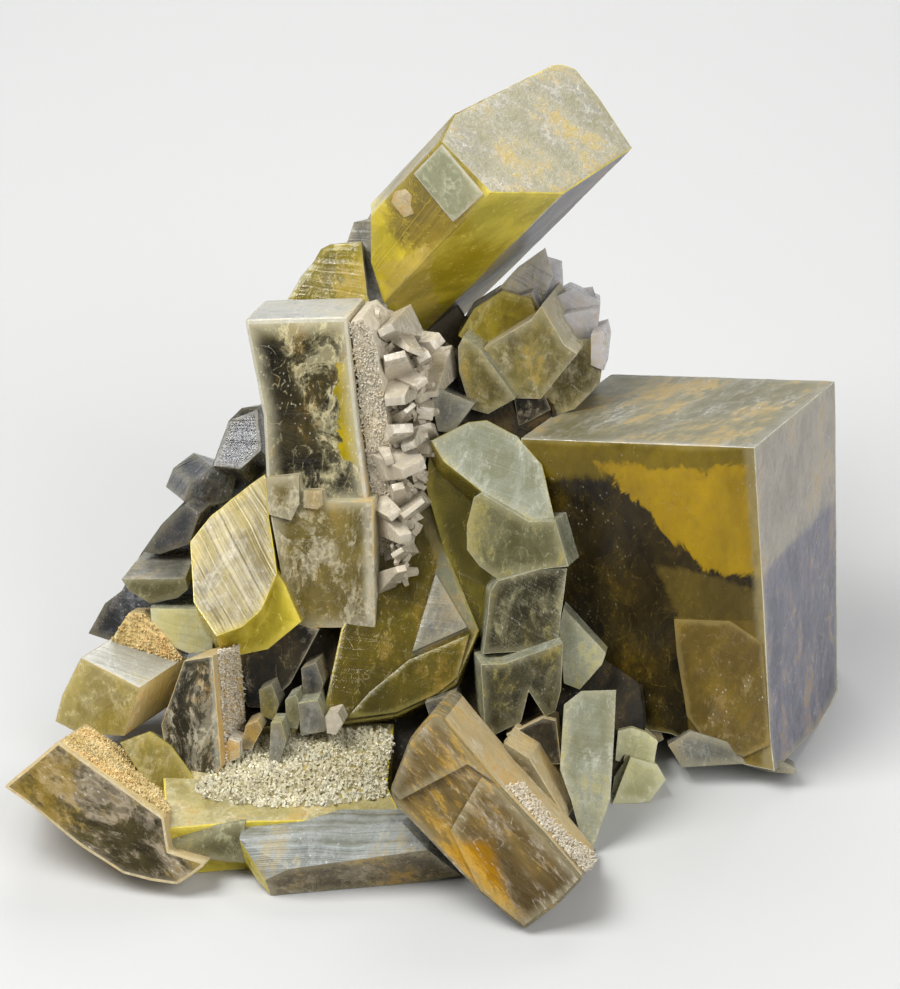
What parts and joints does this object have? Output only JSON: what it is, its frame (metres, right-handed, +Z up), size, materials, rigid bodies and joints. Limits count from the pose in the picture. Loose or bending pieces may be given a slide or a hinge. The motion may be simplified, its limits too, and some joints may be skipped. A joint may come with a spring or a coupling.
{
  "type": "barite crystal cluster",
  "caption": "Honey-coloured clear barite crystals, blocky and tabular, grown together on a broken base with a druse-coated shelf.",
  "frame": {"origin": "bottom centre of the bounding box, on the flat base the cluster rests on", "axes": "+Z up as displayed, X across the cluster as the picture shows it, -Y towards the viewer"},
  "size_m": [0.1092, 0.1078, 0.0782],
  "materials": {
    "barite": "clear honey crystal with frosted, iron-stained faces"
  },
  "bodies": {
    "root": {"barite_cluster": "barite"}
  },
  "joints": []
}
